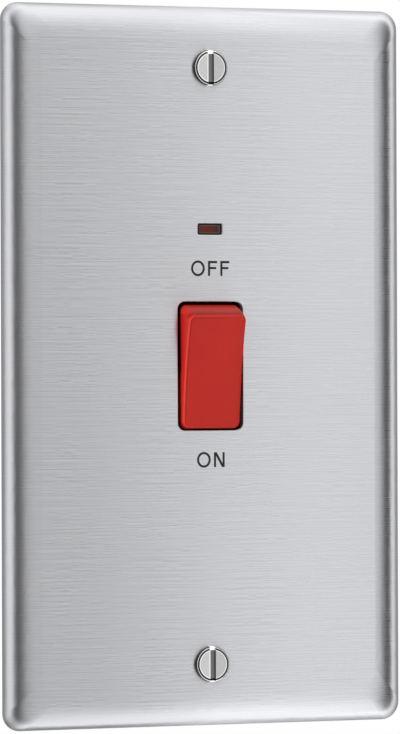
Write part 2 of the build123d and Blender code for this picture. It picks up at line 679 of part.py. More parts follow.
def earth_screw():
    """Clamp screw of the earth terminal."""
    tip = EARTH_BORE_FLOOR + EARTH_BORE + CLAMP_SCREW_BACKOFF
    sizes = (EARTH_SCREW, EARTH_SCREW_HEAD, EARTH_SCREW_HEAD_HEIGHT)
    return clamp_screw(EARTH_X, EARTH_Z, *sizes, tip, EARTH_DEPTH + EARTH_SCREW_SHOW)


def build():
    """Every piece of the switch by its node name."""
    pieces = {
        "front_plate": front_plate(),
        "fixing_screws": fixing_screws(),
        "weld_pillars": weld_pillars(),
        "module_screws": module_screws(),
        "rocker_frame": rocker_frame(),
        "rear_base": rear_base(),
        "rocker": rocker(),
        "indicator_lens": indicator_lens(),
        "neon_lamp": neon_lamp(),
        "neon_resistor": neon_resistor(),
        "neon_line_lead": neon_line_lead(),
        "neon_neutral_lead": neon_neutral_lead(),
        "terminal_screws": terminal_screws(),
        "earth_strap": earth_strap(),
        "earth_terminal": earth_terminal(),
        "earth_screw": earth_screw(),
    }
    for pole, side in POLES.items():
        pieces[f"{pole}_plunger"] = plunger(side)
        pieces[f"{pole}_spring"] = spring(side)
        pieces[f"{pole}_moving_contact"] = moving_contact(side)
        pieces[f"{pole}_moving_tip"] = moving_tip(side)
        pieces[f"{pole}_fixed_tip"] = fixed_tip(side)
        pieces[f"{pole}_load_strap"] = strap(side, 1)
        pieces[f"{pole}_supply_strap"] = strap(side, -1)
        pieces[f"{pole}_load_terminal"] = terminal(side * TERMINAL_X, 1)
        pieces[f"{pole}_supply_terminal"] = terminal(side * TERMINAL_X, -1)
    return pieces


def main():
    os.makedirs("parts", exist_ok=True)
    for name, piece in build().items():
        export_step(piece, f"parts/{name}.step")


main()
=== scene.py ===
from math import cos, pi, radians, sin
from typing import NamedTuple

import bmesh
import bpy
from mathutils import Matrix, Vector


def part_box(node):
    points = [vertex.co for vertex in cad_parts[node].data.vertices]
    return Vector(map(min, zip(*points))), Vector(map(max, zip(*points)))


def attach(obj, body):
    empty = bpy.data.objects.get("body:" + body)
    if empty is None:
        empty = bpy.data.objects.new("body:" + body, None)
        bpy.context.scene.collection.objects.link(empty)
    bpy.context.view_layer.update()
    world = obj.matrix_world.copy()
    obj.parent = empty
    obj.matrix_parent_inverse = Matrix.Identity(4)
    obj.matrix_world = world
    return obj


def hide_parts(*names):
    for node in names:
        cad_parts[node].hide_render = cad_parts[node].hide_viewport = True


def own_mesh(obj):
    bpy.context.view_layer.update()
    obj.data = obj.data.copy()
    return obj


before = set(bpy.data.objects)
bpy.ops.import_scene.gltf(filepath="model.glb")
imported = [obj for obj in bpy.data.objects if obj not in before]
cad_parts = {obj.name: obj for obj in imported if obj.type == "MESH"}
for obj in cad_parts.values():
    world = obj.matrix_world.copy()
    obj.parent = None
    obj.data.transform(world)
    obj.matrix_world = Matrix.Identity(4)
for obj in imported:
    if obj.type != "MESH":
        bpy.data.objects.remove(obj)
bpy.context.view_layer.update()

MM = 0.001

# The photograph's frame in pixels and the camera that took it
PHOTO_HEIGHT = 734
FOCAL_PIXELS = 4699
CAMERA_AZIMUTH = 21.1
CAMERA_ELEVATION = 0.05
CAMERA_ROLL = -0.19
CAMERA_DISTANCE = 955 * MM
CAMERA_AIM = Vector((-0.36, 0, -0.19)) * MM
CAMERA_NEAR = 0.01
CAMERA_FAR = 100
SENSOR = 36.0

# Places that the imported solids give
PLATE_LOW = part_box("front_plate")[0]
PLATE_FRONT = PLATE_LOW.y
LENS_HEIGHT = sum(corner.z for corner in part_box("indicator_lens")) / 2

# Rocker: the pivot's depth behind the plate's face, its tilt, and the sizes and corner of its face
ROCKER_PIVOT = 4.0 * MM
ROCKER_TILT = radians(10)
ROCKER_FACE_WIDTH = 12.3 * MM
ROCKER_FACE_HEIGHT = 23.0 * MM
ROCKER_CORNER = 1.3 * MM

# Floor, and how far from the part it turns white to the camera
FLOOR_DROP = 50 * MM
FLOOR_HEIGHT = PLATE_LOW.z - FLOOR_DROP
FLOOR_RADIUS = 6.0
FLOOR_STEPS = 96
FLOOR_FADE = (0.2, 0.7)
FLOOR_MOTTLE = 0.02
FLOOR_TONES = (0.90, 0.93)

# Bright card and dark patch on the floor, which only gloss shows, by their places in metres
CARD_TONE = 1.8
CARD_FRONT = (-0.09, -0.04)
CARD_REAR = (-0.012, 0.038)
CARD_SIDES = (-0.035, 0.07)
CARD_SLANT = 0.4
CARD_SLANT_START = 0.05
PATCH_SIDES = (-0.11, -0.055)
PATCH_DEPTHS = (-0.03, 0.06)
PATCH_DROP = 0.6
CARD_SOFT = 0.02

# Light tent round the part, which only gloss shows
TENT_RADIUS = 0.3
TENT_HEIGHT = 0.3
TENT_STEPS = 96
TENT_RISE = 0.25
TENT_RISE_HEIGHTS = (0.11, 0.24)
# The tent's tone at each angle in degrees from straight ahead of the plate, to the right
TENT_TONES = [
    (-180, 0.36),
    (-126, 0.30),
    (-108, 0.74),
    (-96, 1.08),
    (-80, 1.08),
    (-70, 0.44),
    (-62, 0.0),
    (-55, 0.0),
    (-46, 0.10),
    (-38, 0.29),
    (-28, 0.54),
    (-12, 0.64),
    (8, 0.625),
    (14, 0.585),
    (29, 1.15),
    (33, 1.05),
    (43, 0.74),
    (51, 0.40),
    (58, 0.12),
    (64, 0.0),
    (69, 0.0),
    (75, 0.22),
    (82, 1.12),
    (92, 1.12),
    (102, 0.52),
    (112, 0.38),
    (180, 0.36),
]

# World: its level on matt surfaces, and what gloss sees overhead, behind and to the left
WORLD_LEVEL = 0.42
OVERHEAD_GAIN = 0.65
OVERHEAD_RISE = (0.3, 0.9)
BEHIND_DROP = 0.4
BEHIND_TURN = (0.0, 0.6)
LEFT_DROP = 0.5
LEFT_TURN = (-0.45, -0.1)

# Lamps
KEY_PLACE = Vector((-1.0, -0.6, 0.42))
KEY_SIZE = (0.6, 0.7)
KEY_POWER = 16.0
REAR_PLACE = Vector((0.8, 1.2, 0.9))
REAR_SIZE = (0.9, 0.9)
REAR_POWER = 8.0

# Printed words
CAP_HEIGHT = 3.02 * MM
ROUND_OVERSHOOT = 0.08 * MM
STROKE = 0.45 * MM
LETTER_O = 2.95 * MM
LETTER_F = 1.95 * MM
LETTER_N = 2.31 * MM
LETTER_GAP = 0.72 * MM
OVAL_STEPS = 48
F_BAR_SHARE = 0.9
F_BAR_HEIGHT_SHARE = 0.45
N_FOOT_SHARE = 1.3
N_NOTCH_SHARE = 0.75
INK_PROUD = 0.02 * MM
INK_SUNK = 0.02 * MM
OFF_HEIGHT = 19.75 * MM
ON_HEIGHT = -18.95 * MM

# How the turned blanks of the screws, their slots and threads are drawn
TURNED_STEPS = 72
ROUND_STEPS = 8
THREAD_STEPS = 28
THREAD_SIDES = 4
RIDGE_SHARE = 0.42
CORE_SHARE = 0.5
TIP_CHAMFER = 0.3 * MM
EDGE_BREAK = 0.05 * MM
EDGE_BREAK_STEPS = 2
EDGE_BREAK_ANGLE = radians(32)
CUTTER_OVERRUN = 1.0 * MM
INTO_WALL = 1
INTO_PLATE = -1

# How meshes are merged and shaded
MERGE_DISTANCE = 0.001 * MM
SHARP_ANGLE = radians(18)


class Screw(NamedTuple):
    """Sizes of one kind of screw."""

    head: float
    head_height: float
    round_over: float
    slot: float
    slot_depth: float
    thread: float
    pitch: float
    plain: float = 0
    slot_fall: float = 0
    dish: float = 0


FIXING_SCREW = Screw(
    head=7.2 * MM,
    head_height=1.0 * MM,
    round_over=0.32 * MM,
    slot=1.2 * MM,
    slot_depth=0.6 * MM,
    thread=3.5 * MM,
    pitch=0.6 * MM,
    plain=1.9 * MM,
    slot_fall=0.7 * MM,
    dish=0.07 * MM,
)
MODULE_SCREW = Screw(
    head=5.5 * MM,
    head_height=2.0 * MM,
    round_over=0.5 * MM,
    slot=0.8 * MM,
    slot_depth=1.0 * MM,
    thread=3.0 * MM,
    pitch=0.5 * MM,
    plain=12.0 * MM,
)
CLAMP_SCREW = Screw(
    head=7.0 * MM,
    head_height=2.4 * MM,
    round_over=0.3 * MM,
    slot=1.2 * MM,
    slot_depth=1.2 * MM,
    thread=5.0 * MM,
    pitch=0.8 * MM,
)
EARTH_SCREW = Screw(
    head=6.0 * MM,
    head_height=2.2 * MM,
    round_over=0.3 * MM,
    slot=1.2 * MM,
    slot_depth=1.2 * MM,
    thread=4.0 * MM,
    pitch=0.7 * MM,
)

# Face of the fixing screws: its halves lean to the slot, and a groove runs inside the rounded rim
FIXING_FACE = 2.97 * MM
FIXING_GROOVE_INNER = 3.01 * MM
FIXING_GROOVE_OUTER = 3.28 * MM
FIXING_GROOVE_DEPTH = 0.4 * MM
FIXING_RIM_START = radians(85)
FIXING_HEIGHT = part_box("fixing_screws")[1].z - FIXING_SCREW.head / 2


def rgb(red, green, blue):
    """An opaque colour."""
    return (red, green, blue, 1.0)


def grey(tone):
    return rgb(tone, tone, tone)


class Level:
    """A number in a shader. Arithmetic on it adds Math nodes."""

    def __init__(self, shader, socket):
        self.shader = shader
        self.socket = socket

    def maths(self, operation, first, second):
        return self.shader.node("ShaderNodeMath", {"operation": operation}, {0: first, 1: second})

    def __add__(self, other):
        return self.maths("ADD", self, other)

    def __sub__(self, other):
        return self.maths("SUBTRACT", self, other)

    def __rsub__(self, other):
        return self.maths("SUBTRACT", other, self)

    def __mul__(self, other):
        return self.maths("MULTIPLY", self, other)

    def __truediv__(self, other):
        return self.maths("DIVIDE", self, other)

    def __pow__(self, other):
        return self.maths("POWER", self, other)

    def __abs__(self):
        return self.maths("ABSOLUTE", self, 0)

    __radd__ = __add__
    __rmul__ = __mul__

    def ramp(self, low, high):
        """0 below low, 1 above high and a smooth rise between them."""
        settings = {"interpolation_type": "SMOOTHSTEP"}
        return self.shader.node("ShaderNodeMapRange", settings, {0: self, 1: low, 2: high})

    def above(self, limit):
        """How far it exceeds a limit, or 0."""
        return self.maths("MAXIMUM", self - limit, 0)

    def band(self, low, high, soft):
        """1 between low and high, fading to 0 over a soft distance outside them."""
        return self.ramp(low - soft, low) * (1 - self.ramp(high, high + soft))


class Tree:
    """A node tree, with one way of adding a node to it."""

    def __init__(self, tree):
        self.tree = tree
        tree.nodes.clear()

    def node(self, kind, settings, sockets, output=0):
        """Add a node with its settings and the values or links of its sockets, and give one output."""
        node = self.tree.nodes.new(kind)
        for name, value in settings.items():
            if name == "stops":
                self.set_stops(node.color_ramp, value)
            else:
                setattr(node, name, value)
        for key, value in sockets.items():
            for item in value if isinstance(value, list) else [value]:
                if isinstance(item, Level):
                    self.tree.links.new(item.socket, node.inputs[key])
                else:
                    node.inputs[key].default_value = item
        return Level(self, node.outputs[output]) if node.outputs else None

    @staticmethod
    def set_stops(ramp, stops):
        """Grey stops of a colour ramp, as pairs of position and tone in rising order."""
        while len(ramp.elements) < len(stops):
            ramp.elements.new(1.0)
        for element, (position, tone) in zip(ramp.elements, stops):
            element.position = position
            element.color = grey(tone)


class Shader(Tree):
    """A material's nodes."""

    # Places of the sockets that a Mix node uses for colours
    MIX_FIRST = 6
    MIX_SECOND = 7
    MIX_RESULT = 2

    def place(self, stretch=(1, 1, 1), turn=(0, 0, 0), shift=(0, 0, 0)):
        """Object coordinates in millimetres, stretched, turned and shifted."""
        coordinates = self.node("ShaderNodeTexCoord", {}, {}, "Object")
        scale = tuple(share / MM for share in stretch)
        sockets = {"Vector": coordinates, "Location": shift, "Rotation": turn, "Scale": scale}
        return self.node("ShaderNodeMapping", {}, sockets)

    def axis(self, place, name):
        """One coordinate of a place."""
        return self.node("ShaderNodeSeparateXYZ", {}, {0: place}, name)

    def noise(self, place, scale, detail, roughness=0.55):
        sockets = {"Vector": place, "Scale": scale, "Detail": detail, "Roughness": roughness}
        return self.node("ShaderNodeTexNoise", {}, sockets)

    def blend(self, share, first, second):
        """A colour between two colours."""
        sockets = {0: share, self.MIX_FIRST: first, self.MIX_SECOND: second}
        return self.node("ShaderNodeMix", {"data_type": "RGBA"}, sockets, self.MIX_RESULT)

    def bump(self, height, distance, strength):
        sockets = {"Height": height, "Distance": distance, "Strength": strength}
        return self.node("ShaderNodeBump", {}, sockets)

    def ray(self, kind):
        """1 for light of one kind, such as Is Camera Ray, and 0 for the rest."""
        return self.node("ShaderNodeLightPath", {}, {}, kind)

    def surface(self, sockets):
        """Finish a material with the values or links of its skin."""
        skin = self.node("ShaderNodeBsdfPrincipled", {}, sockets)
        self.node("ShaderNodeOutputMaterial", {}, {"Surface": skin})


def finish(name, paint):
    """A material whose nodes are added by a paint function."""
    material = bpy.data.materials.new(name)
    material.use_nodes = True
    paint(Shader(material.node_tree))
    return material


# Finishes of steel
# Their distances and depths are in millimetres, and a stretch is a share of that scale

BRUSH_STRETCH = (0.05, 0, 4.3)
BRUSH_FIELDS = (0, 9)
BRUSH_SHIFT = 1
BRUSH_CONTRAST = 1.2
BRUSH_RANGE = (0.2, 0.8)
BRUSH_HEIGHT = 0.003 * MM
PATCH_STRETCH = (0.3, 0, 0.4)
PATCH_RANGE = (0.38, 0.62)
ROLL_DEPTHS = (0.4, 2.0)
ROLL_FADE = 0.7


def brush_lines(shader, field):
    """Level brush lines: the difference between a noise and itself shifted, which has no broad bands."""
    first, second = (shader.place(BRUSH_STRETCH, shift=(0, 0, z)) for z in (field, field + BRUSH_SHIFT))
    return shader.noise(first, scale=1.0, detail=0.0) - shader.noise(second, scale=1.0, detail=0.0)


def brushed_steel(shader):
    """Stainless sheet with fine level brush lines, slightly cool. The lines fade on the rolled edge."""
    first, second = (brush_lines(shader, field) for field in BRUSH_FIELDS)
    patches = shader.noise(shader.place(PATCH_STRETCH), scale=1.0, detail=0.0).ramp(*PATCH_RANGE)
    brushing = (first * patches + second * (1 - patches)) * BRUSH_CONTRAST
    depth = shader.axis(shader.place(), "Y") - PLATE_FRONT / MM
    lines = 0.5 + brushing * (1 - depth.ramp(*ROLL_DEPTHS) * ROLL_FADE)
    colour = shader.blend(lines.ramp(*BRUSH_RANGE), rgb(0.575, 0.58, 0.603), rgb(0.665, 0.67, 0.692))
    shader.surface(
        {
            "Base Color": colour,
            "Metallic": 0.93,
            "Roughness": 0.25 + lines * 0.16,
            "Anisotropic": 0.92,
            "Anisotropic Rotation": 0.25,
            "Normal": shader.bump(lines, BRUSH_HEIGHT, strength=0.3),
        }
    )


# Screw face in millimetres: painted shade in the slot, the groove, under the rim and along its outer edge,
# and painted highlight on the face's edge, the rim and the slot's left lip
TONE_EDGE = 0.03
SLOT_TONE_DEPTH = 0.3
SLOT_TONE_SOFT = 0.15
SLOT_END_SOFT = 0.1
GROOVE_TONE_DEPTH = 0.16
GROOVE_TONE_SOFT = 0.08
UNDER_RIM_DEPTH = 0.65
UNDER_RIM_SOFT = 0.15
RIM_SHADE_START = 0.2
RIM_SHADE_FULL = 0.08
RIM_SHADE_SHARE = 0.9
# Painted highlight from the face's outer edge outwards, and on the slot's left lip
FACE_HIGHLIGHT_START = 0.3
FACE_HIGHLIGHT_FULL = 0.2
SLOT_HIGHLIGHT_WIDTH = 0.2
SLOT_HIGHLIGHT_SOFT = 0.05
STREAK_STRETCH = (1, 1, 12)
STREAK_TURN = (0, radians(40), 0)
STREAK_HEIGHT = 0.004 * MM


def screw_steel(shader):
    """Bright plated screw, rougher in its slot, with painted highlight from the face's outer edge outwards
    and on the slot's left lip, and painted shade in the slot, at its lower end, in the groove round the
    face, under the rim and along the rim's outer edge.
    """
    place = shader.place()
    across = shader.axis(place, "X")
    height = shader.axis(place, "Z")
    along = (abs(height) - FIXING_HEIGHT / MM) * height / abs(height)
    depth = shader.axis(place, "Y") - (PLATE_FRONT - FIXING_SCREW.head_height) / MM
    radius = (across * across + along * along) ** 0.5
    half = FIXING_SCREW.slot / MM / 2
    rim = FIXING_SCREW.head / MM / 2
    flat = (FIXING_SCREW.head / 2 - FIXING_SCREW.slot_fall) / MM
    deep = FIXING_SCREW.head_height / MM
    inner = FIXING_GROOVE_INNER / MM
    outer = FIXING_GROOVE_OUTER / MM

    slot = across.band(-half, half, TONE_EDGE) * depth.band(SLOT_TONE_DEPTH, deep, SLOT_TONE_SOFT)
    # Painted shade, near black: in the groove round the face, at the slot's lower end, under the rim and
    # along the rim's outer edge
    groove = radius.band(inner, outer, TONE_EDGE) * depth.band(GROOVE_TONE_DEPTH, deep, GROOVE_TONE_SOFT)
    slot_end_shade = slot * along.band(-outer, -flat, SLOT_END_SOFT)
    rim_shade_line = radius.ramp(rim - RIM_SHADE_START, rim - RIM_SHADE_FULL) * RIM_SHADE_SHARE
    under_rim_shade = depth.band(UNDER_RIM_DEPTH, deep, UNDER_RIM_SOFT) + rim_shade_line
    dark = (groove * (1 - slot) + slot_end_shade + under_rim_shade * (1 - slot)).ramp(0, 1)
    # Painted shade: the slot is painted a darker grey, and it is also made rougher
    dull = slot * along.band(-outer, flat - SLOT_END_SOFT, SLOT_END_SOFT)
    # Painted highlight on the slot's left lip and from the face's outer edge outwards
    slot_lip_highlight = across.band(-half - SLOT_HIGHLIGHT_WIDTH, -half, SLOT_HIGHLIGHT_SOFT)
    painted_highlight = (radius.ramp(inner - FACE_HIGHLIGHT_START, inner - FACE_HIGHLIGHT_FULL) + slot_lip_highlight).ramp(0, 1)

    cloud = shader.noise(place, scale=1.3, detail=3.0)
    streaks = shader.noise(shader.place(STREAK_STRETCH, STREAK_TURN), scale=1.0, detail=2.0)
    colour = shader.blend(cloud * 0.4 + streaks * 0.6, grey(0.56), grey(0.72))
    # Painted highlight, nearly white
    colour = shader.blend(painted_highlight, colour, grey(0.97))
    # Painted shade in the slot
    colour = shader.blend(dull, colour, grey(0.22))
    shader.surface(
        {
            # Painted shade, near black
            "Base Color": shader.blend(dark, colour, grey(0.008)),
            "Metallic": 0.92,
            "Roughness": 0.17 + cloud * 0.1 + dull * 0.2,
            "Normal": shader.bump(streaks, STREAK_HEIGHT, strength=0.3),
        }
    )


# The middle of a noise, where two mottled colours run into each other
MOTTLE_RANGE = (0.3, 0.7)
CLOUD_HEIGHT = 0.01 * MM


def plated_steel(shader):
    """Zinc-plated steel: cloudy, cool, a little dull."""
    cloud = shader.noise(shader.place(), scale=0.6, detail=4.0)
    colour = shader.blend(cloud.ramp(*MOTTLE_RANGE), rgb(0.50, 0.52, 0.55), rgb(0.68, 0.69, 0.68))
    shader.surface(
        {
            "Base Color": colour,
            "Metallic": 0.9,
            "Roughness": 0.3 + cloud * 0.2,
            "Normal": shader.bump(cloud, CLOUD_HEIGHT, strength=0.3),
        }
    )


TOOL_STRETCH = (0.4, 8, 0.4)
TOOL_HEIGHT = 0.006 * MM


def sawn_metal(dark, light):
    """A machined block: fine tool lines over a mottled colour."""

    def paint(shader):
        cloud = shader.noise(shader.place(), scale=0.5, detail=3.0)
        tool = shader.noise(shader.place(TOOL_STRETCH), scale=1.0, detail=2.0)
        shader.surface(
            {
                "Base Color": shader.blend(cloud.ramp(*MOTTLE_RANGE), dark, light),
                "Metallic": 0.95,
                "Roughness": 0.24 + tool * 0.2,
                "Normal": shader.bump(tool, TOOL_HEIGHT, strength=0.4),
            }
        )

    return paint


# Finishes of mouldings

FLOW_STRETCH = (0.4, 1, 0.15)
GRAIN_HEIGHT = 0.012 * MM


def flow_marks(shader):
    """Slow changes of shade in a moulding."""
    return shader.noise(shader.place(FLOW_STRETCH), scale=0.25, detail=3.0).ramp(*MOTTLE_RANGE)


def moulding(dark, light, roughness):
    """Moulded plastic with a fine spark-eroded grain and slow changes of shade."""

    def paint(shader):
        grain = shader.noise(shader.place(), scale=2.6, detail=2.0, roughness=0.5)
        shader.surface(
            {
                "Base Color": shader.blend(flow_marks(shader), dark, light),
                "Roughness": roughness + grain * 0.1,
                "Normal": shader.bump(grain, GRAIN_HEIGHT, strength=0.5),
            }
        )

    return paint


# Rocker: places along its face from the pivot, and distances in from the rim of its face, in millimetres
UPPER_END = (10.9, 11.4)
# The painted highlight and shade lines weaken at the lower end and on the right half, away from the light
LOWER_END = (10.4, 11.3)
LOWER_DROP = 0.8
RIGHT_HALF = (0, 5)
RIGHT_DROP = 0.6
# Painted highlight line along the rim of the face
EDGE_HIGHLIGHT_LINE = (0.04, 0.24)
EDGE_HIGHLIGHT_SOFT = 0.06
# Painted shade lines inside the highlight line, and above the face's top edge
CREASE_SHADE_LINE = (0.4, 0.54)
UPPER_CREASE_SHADE_LINE = (-0.4, -0.15)
CREASE_SHADE_SOFT = 0.08
CREASE_SHADE_SHARE = 0.8
# Painted shade on the sides of the rocker
SIDE_SHADE_START = (-0.16, -0.02)
# Painted shade where the rocker never leaves the plate
WELL_DEPTHS = (-0.2, 0.5)
WELL_SHARE = 0.92


def red_rocker(shader):
    """Satin red moulding with a painted highlight line round its face, painted shade in lines beside that
    and on its sides, and painted shade where it never leaves the plate.
    """
    place = shader.place()
    across = shader.axis(place, "X")
    height = shader.axis(place, "Z")
    depth = shader.axis(place, "Y") - PLATE_FRONT / MM
    reach = depth - ROCKER_PIVOT / MM
    along = height * cos(ROCKER_TILT) - reach * sin(ROCKER_TILT)
    inward = reach * cos(ROCKER_TILT) + height * sin(ROCKER_TILT)
    corner = ROCKER_CORNER / MM
    beside = abs(across).above(ROCKER_FACE_WIDTH / MM / 2 - corner)
    beyond = abs(along).above(ROCKER_FACE_HEIGHT / MM / 2 - corner)
    inset = corner - (beside * beside + beyond * beyond) ** 0.5

    upper = along.ramp(*UPPER_END)
    lower = (0 - along).ramp(*LOWER_END)
    # Share of the painted highlight and shade lines: weaker to the right and at the lower end, away from the
    # light
    light_share = (1 - across.ramp(*RIGHT_HALF) * RIGHT_DROP) * (1 - lower * LOWER_DROP)
    edge = inset.band(*EDGE_HIGHLIGHT_LINE, EDGE_HIGHLIGHT_SOFT) * light_share
    # Painted shade line inside the highlight, and one above the face's top edge
    crease_shade = inset.band(*CREASE_SHADE_LINE, CREASE_SHADE_SOFT) * (1 - upper) * light_share * light_share
    crease_shade = crease_shade + inset.band(*UPPER_CREASE_SHADE_LINE, CREASE_SHADE_SOFT) * upper
    # Painted shade on the sides: a darker, deeper red
    side = (1 - inset.ramp(*SIDE_SHADE_START)) * (1 - upper)
    # The least depth behind the plate's face that a point has over the throw
    least = inward * cos(ROCKER_TILT) - abs(along) * sin(ROCKER_TILT) + ROCKER_PIVOT / MM
    # Painted shade, near black, where the rocker never leaves the plate
    shade = least.ramp(*WELL_DEPTHS)

    grain = shader.noise(place, scale=5.0, detail=2.0, roughness=0.5)
    colour = shader.blend(flow_marks(shader), rgb(0.42, 0.018, 0.011), rgb(0.46, 0.021, 0.013))
    # Painted shade on the sides
    colour = shader.blend(side, colour, rgb(0.40, 0.008, 0.005))
    # Painted highlight line
    colour = shader.blend(edge, colour, rgb(0.54, 0.032, 0.022))
    # Painted shade lines
    colour = shader.blend(crease_shade * CREASE_SHADE_SHARE, colour, rgb(0.26, 0.006, 0.004))
    colour = shader.blend(shade * WELL_SHARE, colour, rgb(0.02, 0.001, 0.001))
    shader.surface(
        {
            "Base Color": colour,
            "Roughness": 0.32 + grain * 0.1,
            "Specular IOR Level": 0.2,
            "Normal": shader.bump(grain, GRAIN_HEIGHT, strength=0.5),
        }
    )


# Finishes of the indicator

# Lens in millimetres: painted shade darker to the right, a painted highlight round its edge, and painted
# shade behind its face
LENS_SHADE_SLOPE = 0.15
LENS_RANGE = (0.2, 0.9)
LENS_END_HIGHLIGHT = (1.9, 2.15)
LENS_LONG_HIGHLIGHT = (0.5, 0.75)
LENS_FACE_DEPTHS = (0.5, 0.6)


def red_lens(shader):
    """Dark red window with random tone and painted shade darker towards its right end, a painted highlight
    round its edge, and painted shade in black behind its face.
    """
    place = shader.place()
    across = shader.axis(place, "X")
    height = shader.axis(place, "Z") - LENS_HEIGHT / MM
    depth = shader.axis(place, "Y") - PLATE_FRONT / MM
    cloud = shader.noise(place, scale=0.9, detail=2.0)
    # Random tone, with painted shade darker to the right
    tone_and_shade = (across * LENS_SHADE_SLOPE + cloud).ramp(*LENS_RANGE)
    # Painted highlight round the lens's edge
    edge = (abs(across).ramp(*LENS_END_HIGHLIGHT) + abs(height).ramp(*LENS_LONG_HIGHLIGHT)).ramp(0, 1)
    colour = shader.blend(tone_and_shade, rgb(0.095, 0.017, 0.009), rgb(0.047, 0.019, 0.011))
    colour = shader.blend(edge, colour, rgb(0.10, 0.052, 0.044))
    # Painted shade: black behind the lens's face
    colour = shader.blend(depth.ramp(*LENS_FACE_DEPTHS), colour, grey(0.002))
    shader.surface(
        {
            "Base Color": colour,
            "Roughness": 0.16 + cloud * 0.08,
            "Specular IOR Level": 0.17,
        }
    )


SMOKE_DEPTHS = (3.0, 8.0)


def lamp_glass(shader):
    """Clear lamp glass with a faint smoke where the electrodes sit."""
    smoke = shader.axis(shader.place(), "Y").ramp(*SMOKE_DEPTHS)
    shader.surface(
        {
            "Base Color": shader.blend(smoke, rgb(0.95, 0.93, 0.9), rgb(0.75, 0.6, 0.5)),
            "Roughness": 0.05 + smoke * 0.1,
            "Transmission Weight": 0.85,
            "IOR": 1.5,
        }
    )


# Painted bands of the resistor, each with its middle
RESISTOR_BANDS = [(5.3, rgb(0.16, 0.06, 0.02)), (6.3, rgb(0.02, 0.02, 0.02)), (7.3, rgb(0.65, 0.5, 0.02))]
BAND_HALF = 0.25
BAND_SOFT = 0.05


def resistor_body(shader):
    """Tan lacquer with painted bands along the body."""
    along = shader.axis(shader.place(), "X")
    lacquer = shader.noise(shader.place(), scale=1.4, detail=2.0)
    colour = shader.blend(lacquer, rgb(0.50, 0.36, 0.22), rgb(0.60, 0.45, 0.29))
    for middle, paint in RESISTOR_BANDS:
        band = along.band(middle - BAND_HALF + BAND_SOFT, middle + BAND_HALF, BAND_SOFT)
        colour = shader.blend(band, colour, paint)
    shader.surface({"Base Color": colour, "Roughness": 0.3 + lacquer * 0.15})


# Printing ink

INK_STRETCH = (0.3, 6, 6)


def printed_ink(shader):
    """Black pad-printed ink, thin enough to let a little of the sheet's grain through."""
    grain = shader.noise(shader.place(INK_STRETCH), scale=1.0, detail=2.0)
    shader.surface(
        {
            "Base Color": shader.blend(grain, rgb(0.002, 0.002, 0.003), rgb(0.008, 0.008, 0.010)),
            "Roughness": 0.5 + grain * 0.15,
        }
    )


BLACK_MOULDING = moulding(rgb(0.010, 0.010, 0.011), rgb(0.018, 0.018, 0.019), 0.4)
GREY_MOULDING = moulding(rgb(0.30, 0.30, 0.30), rgb(0.36, 0.36, 0.355), 0.42)
WHITE_NYLON = moulding(rgb(0.70, 0.69, 0.64), rgb(0.78, 0.77, 0.72), 0.35)
FINISHES = {
    "brushed_steel": finish("brushed_steel_sheet", brushed_steel),
    "screw_steel": finish("bright_screw_steel", screw_steel),
    "plated_steel": finish("zinc_plated_steel", plated_steel),
    "brass": finish("machined_brass", sawn_metal(rgb(0.58, 0.40, 0.16), rgb(0.74, 0.55, 0.26))),
    "copper": finish("rolled_copper", sawn_metal(rgb(0.60, 0.28, 0.17), rgb(0.76, 0.40, 0.27))),
    "silver_tip": finish("silver_contact", sawn_metal(rgb(0.72, 0.71, 0.68), rgb(0.86, 0.85, 0.82))),
    "black_moulding": finish("black_moulding_grain", BLACK_MOULDING),
    "grey_moulding": finish("grey_moulding_grain", GREY_MOULDING),
    "red_moulding": finish("red_moulding_satin", red_rocker),
    "red_lens": finish("dark_red_lens", red_lens),
    "lamp_glass": finish("lamp_glass_clear", lamp_glass),
    "resistor_body": finish("resistor_lacquer", resistor_body),
    "tinned_wire": finish("tinned_lead", sawn_metal(rgb(0.62, 0.62, 0.62), rgb(0.78, 0.78, 0.77))),
    "white_nylon": finish("white_nylon_satin", WHITE_NYLON),
    "spring_steel": finish("drawn_spring_wire", sawn_metal(rgb(0.40, 0.40, 0.41), rgb(0.56, 0.56, 0.57))),
}
INK = finish("black_printed_ink", printed_ink)


# Pieces


def dress_solids():
    """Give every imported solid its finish."""
    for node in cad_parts.values():
        for index, material in enumerate(node.data.materials):
            node.data.materials[index] = FINISHES[material.name.split(".")[0]]


def new_object(name, data):
    """An object in the scene."""
    piece = bpy.data.objects.new(name, data)
    bpy.context.scene.collection.objects.link(piece)
    return piece


def new_piece(name, mesh, body, material=None):
    """An object of the part that rides on one of its bodies."""
    piece = new_object(name, mesh)
    if material:
        mesh.materials.append(material)
    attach(piece, body)
    return piece


def mesh_of(name, bm):
    """A mesh with the faces of a finished drawing."""
    mesh = bpy.data.meshes.new(name)
    bm.to_mesh(mesh)
    bm.free()
    return mesh


def settled_mesh(holder):
    """A plain mesh of an object with its modifiers worked in."""
    depsgraph = bpy.context.evaluated_depsgraph_get()
    return bpy.data.meshes.new_from_object(holder.evaluated_get(depsgraph))


def clean_mesh(mesh, source):
    """Fill a mesh from a source, with doubled points merged, and shade it smooth between sharp edges."""
    bm = bmesh.new()
    bm.from_mesh(source)
    bmesh.ops.remove_doubles(bm, verts=bm.verts, dist=MERGE_DISTANCE)
    bmesh.ops.dissolve_degenerate(bm, edges=bm.edges, dist=MERGE_DISTANCE)
    bm.to_mesh(mesh)
    bm.free()
    mesh.shade_smooth()
    mesh.set_sharp_from_angle(angle=SHARP_ANGLE)


def grow_faces(bm, way):
    """Thicken all the flat faces of a drawing one way, with their normals outwards."""
    grown = bmesh.ops.extrude_face_region(bm, geom=bm.faces[:], use_keep_orig=True)
    moved = [item for item in grown["geom"] if isinstance(item, bmesh.types.BMVert)]
    bmesh.ops.translate(bm, verts=moved, vec=way)
    bmesh.ops.recalc_face_normals(bm, faces=bm.faces)


